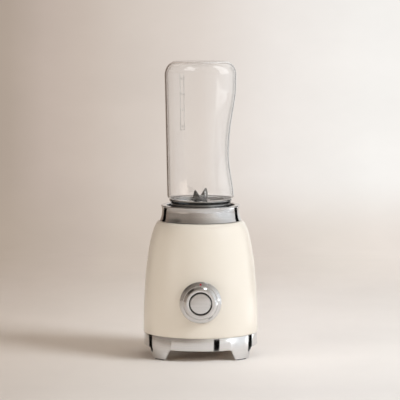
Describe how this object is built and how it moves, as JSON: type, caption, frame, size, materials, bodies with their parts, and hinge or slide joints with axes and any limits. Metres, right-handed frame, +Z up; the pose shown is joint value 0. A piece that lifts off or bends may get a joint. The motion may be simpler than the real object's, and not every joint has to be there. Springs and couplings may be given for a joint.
{
  "type": "countertop blender",
  "caption": "Single-serve countertop blender: rounded cream motor base on a brushed four-legged band, front knob, and an upturned clear bottle screwed to a lift-off blade unit.",
  "frame": {"origin": "on the motor's axis, at the surface the feet rest on", "axes": "+Z up along the motor's axis; the knob faces -Y; +X is to the right seen from the front, on the side of the bottle's finger grip"},
  "size_m": [0.1396, 0.1679, 0.3588],
  "materials": {
    "cream_enamel": "gloss cream enamel",
    "brushed_band": "horizontally brushed",
    "brushed_knob": "brushed face, polished edges",
    "satin_metal": "satin",
    "holder_metal": "satin",
    "blade_steel": "polished, ground edges",
    "plain_steel": "machined",
    "cast_aluminium": "as cast",
    "electrical_steel": "varnished laminations",
    "copper": null,
    "brass": "plain",
    "carbon": "pressed carbon",
    "dark_plastic": "fine texture",
    "grey_plastic": "smooth",
    "dark_diffuser": "smoked, unlit",
    "red_enamel": "gloss",
    "circuit_board": "solder mask",
    "foot_rubber": "matt",
    "seal_silicone": "translucent grey",
    "clear_plastic": "clear moulded copolyester"
  },
  "bodies": {
    "base": {"base_band": "brushed_band", "foot_pad_front_right": "foot_rubber", "foot_pad_rear_right": "foot_rubber", "foot_pad_rear_left": "foot_rubber", "foot_pad_front_left": "foot_rubber", "base_screw_front_right": "plain_steel", "base_screw_rear_right": "plain_steel", "base_screw_rear_left": "plain_steel", "base_screw_front_left": "plain_steel", "base_plate": "dark_plastic", "control_board": "circuit_board", "body_shell": "cream_enamel", "top_ring": "satin_metal", "bottle_seat": "dark_plastic", "micro_switch_1": "dark_plastic", "micro_switch_2": "dark_plastic", "stator_stack": "electrical_steel", "upper_bearing": "plain_steel", "lower_bearing": "plain_steel", "upper_shield": "cast_aluminium", "lower_shield": "cast_aluminium", "field_coil_left": "copper", "field_coil_right": "copper", "brush_holder_left": "brass", "brush_holder_right": "brass", "carbon_brush_left": "carbon", "carbon_brush_right": "carbon", "motor_damper_1": "foot_rubber", "motor_damper_2": "foot_rubber", "motor_damper_3": "foot_rubber", "motor_damper_4": "foot_rubber", "knob_saddle": "satin_metal", "selector_switch": "dark_plastic", "bushing_nut": "plain_steel", "cord_gland": "foot_rubber"},
    "rotor": {"motor_shaft": "plain_steel", "armature_core": "electrical_steel", "armature_winding": "copper", "commutator": "copper", "cooling_fan": "grey_plastic", "drive_coupling": "dark_plastic"},
    "knob": {"knob_dial": "brushed_knob", "index_dot": "red_enamel", "light_ring": "dark_diffuser", "knob_spindle": "plain_steel"},
    "button": {"pulse_button": "brushed_knob"},
    "plunger_1": {"interlock_plunger_1": "grey_plastic"},
    "plunger_2": {"interlock_plunger_2": "grey_plastic"},
    "interlock": {"interlock_ring": "grey_plastic"},
    "blade_unit": {"blade_holder": "holder_metal", "shaft_bush": "brass", "shaft_seal": "foot_rubber"},
    "thread": {"bottle_seal": "seal_silicone"},
    "bottle": {"bottle": "clear_plastic"},
    "cutter": {"blade_shaft": "plain_steel", "driven_coupling": "dark_plastic", "blade_spacer": "plain_steel", "lower_blade": "blade_steel", "upper_blade": "blade_steel", "blade_nut": "plain_steel"}
  },
  "joints": [
    {"name": "motor_spin", "type": "hinge", "parent": "base", "child": "rotor", "pos_m": [0, 0, 0.097], "axis": [0, 0, 1], "continuous": true},
    {"name": "knob_turn", "type": "hinge", "parent": "base", "child": "knob", "pos_m": [0, -0.0709, 0.073], "axis": [0, 1, 0], "range_deg": [-40, 80]},
    {"name": "button_press", "type": "slide", "parent": "knob", "child": "button", "axis": [0, 1, 0], "range_m": [0, 0.0015], "stiffness_N_per_m": 800, "springref_m": -0.001},
    {"name": "bottle_twist", "type": "hinge", "parent": "base", "child": "interlock", "pos_m": [0, 0, 0.1563], "axis": [0, 0, -1], "range_deg": [0, 30]},
    {"name": "plunger_press_1", "type": "slide", "parent": "base", "child": "plunger_1", "axis": [0, 0, -1], "range_m": [0, 0.0021]},
    {"name": "plunger_press_2", "type": "slide", "parent": "base", "child": "plunger_2", "axis": [0, 0, -1], "range_m": [0, 0.0021]},
    {"name": "bottle_lift", "type": "slide", "parent": "interlock", "child": "blade_unit", "axis": [0, 0, 1], "range_m": [0, 0.06]},
    {"name": "bottle_unscrew", "type": "hinge", "parent": "blade_unit", "child": "thread", "pos_m": [0, 0, 0.1783], "axis": [0, 0, 1], "range_deg": [0, 360]},
    {"name": "bottle_rise", "type": "slide", "parent": "thread", "child": "bottle", "axis": [0, 0, 1], "range_m": [0, 0.0121]},
    {"name": "blade_spin", "type": "hinge", "parent": "blade_unit", "child": "cutter", "pos_m": [0, 0, 0.19], "axis": [0, 0, 1], "continuous": true}
  ],
  "couplings": [
    {"joint": "blade_spin", "follows": "motor_spin", "ratio": 1},
    {"joint": "plunger_press_1", "follows": "bottle_twist", "m_per_rad": 0.0038197},
    {"joint": "plunger_press_2", "follows": "bottle_twist", "m_per_rad": 0.0038197},
    {"joint": "bottle_rise", "follows": "bottle_unscrew", "m_per_rad": 0.0019099}
  ]
}
